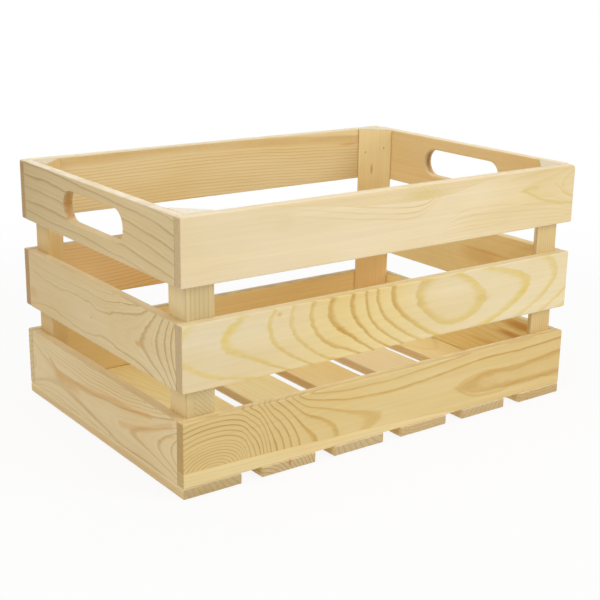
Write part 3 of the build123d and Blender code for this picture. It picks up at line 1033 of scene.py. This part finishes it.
# Posts: their colours, rings and lean of the grain, and resin and painted shade by height and place over the
# ground plan
POSTS = {
    "front_left_post": dict(
        TAN, pale=(235, 213, 163), early=(232, 210, 160), ring=4.2, line=0.5, worn=(236, 227, 205),
        # Painted shade: the stain darkens this post's whole front face, set back under the board above
        post_lean=1, stains_and_shade=[((120, -205, -146), 400, 30, 0.34)], resin=(145, 132, 80),
    ),
    "front_right_post": dict(
        TAN, pale=(221, 196, 140), early=(216, 191, 135), ring=3, line=0.7, worn=(218, 205, 176),
    ),
    "back_left_post": dict(
        TAN, pale=(224, 196, 140), early=(218, 189, 133), ring=3, line=0.25, worn=(218, 202, 168),
    ),
    "back_right_post": dict(
        TAN, pale=(249, 228, 174), early=(230, 195, 134), ring=3, line=0.1, worn=(230, 216, 186),
        stains_and_shade=[((197, 203, 134), 9, 1.5, 0.9)],
    ),
}


def dress(node, material):
    """Give a node's own mesh another material."""
    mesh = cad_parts[node].data
    mesh.materials.clear()
    mesh.materials.append(material)


for number, node in enumerate(sorted(POSTS), start=len(boards) + 1):
    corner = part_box(node)[0] / MM
    pith = (POST_PITH[0] - corner[0], POST_PITH[1] - corner[1])
    dress(node, pine_material(node + "_pine", [0.0, 0.0, 1.0], number, post_pith=pith, **POSTS[node]))


def steel_material():
    """Drawn wire, dull and bright in turn."""
    steel, n = new_material("Brad wire")
    place = n.add("ShaderNodeTexCoord").outputs["Object"]
    drawn = n.noise(n.vector("MULTIPLY", place, WIRE_MARKS), 3.0)
    colour = n.mix(n.ramp(drawn, low=-0.5, high=0.6), linear(176, 166, 148), linear(214, 208, 196))
    rough = n.swing(drawn, by=0.12, about=0.42)
    shader = n.add("ShaderNodeBsdfPrincipled", {"Base Color": colour, "Roughness": rough, "Metallic": 1.0})
    n.add("ShaderNodeOutputMaterial", {"Surface": shader.outputs[0]})
    return steel


steel = steel_material()
for node in ("post_brads", "floor_brads"):
    dress(node, steel)


def seen(n):
    """1 for rays that look at a surface, and 0 for those that carry its light on."""
    rays = n.add("ShaderNodeLightPath").outputs
    mirrored = n.math("MAXIMUM", rays["Is Glossy Ray"], rays["Is Transmission Ray"])
    return n.math("MAXIMUM", rays["Is Camera Ray"], mirrored)


def paper_material():
    """Matt paper that looks nearly white but keeps a shadow, and clears away from the crate."""
    paper, n = new_material("Studio paper")
    matt = n.add("ShaderNodeBsdfDiffuse", {"Color": linear(*PAPER)}).outputs[0]
    white = n.add("ShaderNodeEmission", {"Color": linear(*WHITE)}).outputs[0]
    lit = n.mix_shaders(n.product(seen(n), PAPER_GLOW), matt, white)
    place = n.add("ShaderNodeNewGeometry").outputs["Position"]
    far = n.vector("LENGTH", place, output="Value")
    clear = n.add("ShaderNodeBsdfTransparent").outputs[0]
    n.add("ShaderNodeOutputMaterial", {"Surface": n.mix_shaders(n.ramp(far, *PAPER_CLEAR), lit, clear)})
    return paper


def make_floor():
    """Square of paper just under the crate."""
    half = PAPER_SIZE / 2
    corners = [(-half, -half, 0), (half, -half, 0), (half, half, 0), (-half, half, 0)]
    mesh = bpy.data.meshes.new("studio_floor")
    mesh.from_pydata(corners, [], [(0, 1, 2, 3)])
    mesh.materials.append(paper_material())
    sheet = put("studio_floor", mesh)
    sheet.location.z = -PAPER_DROP
    return sheet


floor = make_floor()


def light_room():
    """World that lights the crate softly and looks white."""
    world = bpy.data.worlds.new("Studio")
    world.use_nodes = True
    n = Nodes(world.node_tree)
    room = n.add("ShaderNodeBackground", {"Color": linear(*ROOM), "Strength": ROOM_LIGHT}).outputs[0]
    white = n.add("ShaderNodeBackground", {"Color": linear(*WHITE)}).outputs[0]
    n.add("ShaderNodeOutputWorld", {"Surface": n.mix_shaders(seen(n), room, white)})
    bpy.context.scene.world = world


def softbox(name, place, size, power):
    """Large square lamp aimed at the middle of the crate."""
    lamp = bpy.data.lights.new(name, "AREA")
    lamp.shape = "SQUARE"
    lamp.size = size
    lamp.energy = power
    holder = put(name, lamp)
    holder.location = place
    holder.rotation_euler = (Vector(MIDDLE) - Vector(place)).to_track_quat("-Z", "Y").to_euler()


light_room()
for name, (place, size, power) in LAMPS.items():
    softbox(name, place, size, power)


def aim_camera():
    """Camera that sees the crate as the photograph does."""
    view = bpy.data.cameras.new("photo_view")
    view.sensor_width = SENSOR
    view.lens = LENS
    camera = put("photo_view", view)
    turn = Matrix.Identity(4)
    for angle, axis in ((AZIMUTH, "Z"), (90 - DOWN, "X"), (ROLL, "Z")):
        turn = turn @ Matrix.Rotation(math.radians(angle), 4, axis)
    camera.matrix_world = Matrix.Translation(EYE) @ turn
    bpy.context.scene.camera = camera


aim_camera()
bpy.context.scene.view_settings.view_transform = "Standard"
